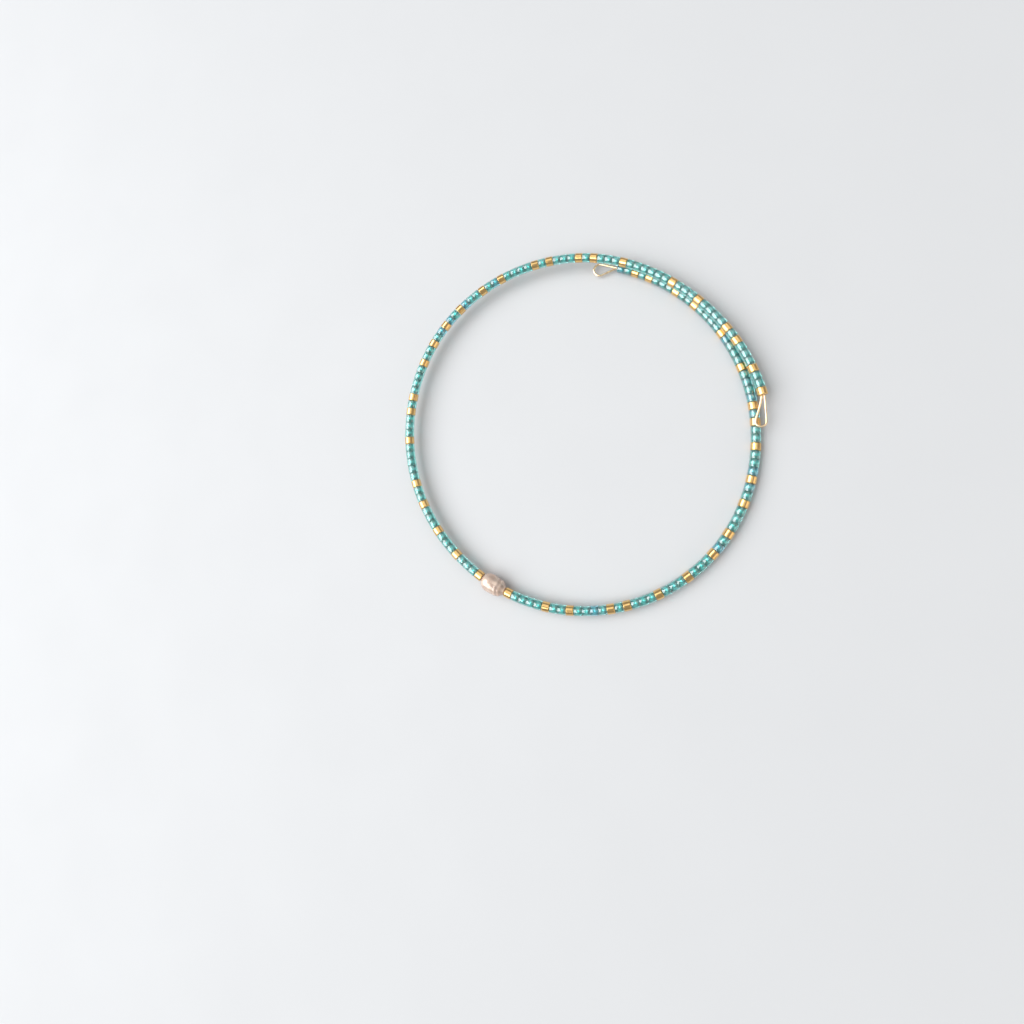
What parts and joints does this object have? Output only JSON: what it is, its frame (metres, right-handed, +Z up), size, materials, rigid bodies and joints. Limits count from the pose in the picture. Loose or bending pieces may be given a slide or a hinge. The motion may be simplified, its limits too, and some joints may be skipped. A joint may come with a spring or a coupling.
{
  "type": "beaded bracelet",
  "caption": "Springy wire wrap bracelet strung with teal cylinder beads, gold accent beads and one oval pearl, its wire ends bent back into teardrop eyes.",
  "frame": {"origin": "on the surface that the bracelet lies on, under the middle of its outline", "axes": "+Z up, out of the surface; +X from the middle towards the side where the upper wire end lies"},
  "size_m": [0.0602, 0.0604, 0.0033],
  "materials": {
    "teal_glass": "transparent teal glass with a lustre coat",
    "gold_plate": "bright gold plating",
    "pearl_nacre": "satin pinkish nacre with fine ridges",
    "gold_wire": "pale gold plated spring wire"
  },
  "bodies": {
    "root": {"upper_bead_string": "teal_glass", "lower_bead_string": "teal_glass", "gold_bead_01": "gold_plate", "gold_bead_02": "gold_plate", "gold_bead_03": "gold_plate", "gold_bead_04": "gold_plate", "gold_bead_05": "gold_plate", "gold_bead_06": "gold_plate", "gold_bead_07": "gold_plate", "gold_bead_08": "gold_plate", "gold_bead_09": "gold_plate", "gold_bead_10": "gold_plate", "gold_bead_11": "gold_plate", "gold_bead_12": "gold_plate", "gold_bead_13": "gold_plate", "gold_bead_14": "gold_plate", "gold_bead_15": "gold_plate", "gold_bead_16": "gold_plate", "gold_bead_17": "gold_plate", "gold_bead_18": "gold_plate", "gold_bead_19": "gold_plate", "gold_bead_20": "gold_plate", "gold_bead_21": "gold_plate", "gold_bead_22": "gold_plate", "gold_bead_23": "gold_plate", "gold_bead_24": "gold_plate", "gold_bead_25": "gold_plate", "gold_bead_26": "gold_plate", "gold_bead_27": "gold_plate", "gold_bead_28": "gold_plate", "gold_bead_29": "gold_plate", "gold_bead_30": "gold_plate", "gold_bead_31": "gold_plate", "gold_bead_32": "gold_plate", "gold_bead_33": "gold_plate", "gold_bead_34": "gold_plate", "gold_bead_35": "gold_plate", "gold_bead_36": "gold_plate", "gold_bead_37": "gold_plate", "gold_bead_38": "gold_plate", "gold_bead_39": "gold_plate", "gold_bead_40": "gold_plate", "gold_bead_41": "gold_plate", "gold_bead_42": "gold_plate", "gold_bead_43": "gold_plate", "gold_bead_44": "gold_plate", "gold_bead_45": "gold_plate", "pearl_bead": "pearl_nacre", "upper_end_eye": "gold_wire", "lower_end_eye": "gold_wire"}
  },
  "joints": []
}
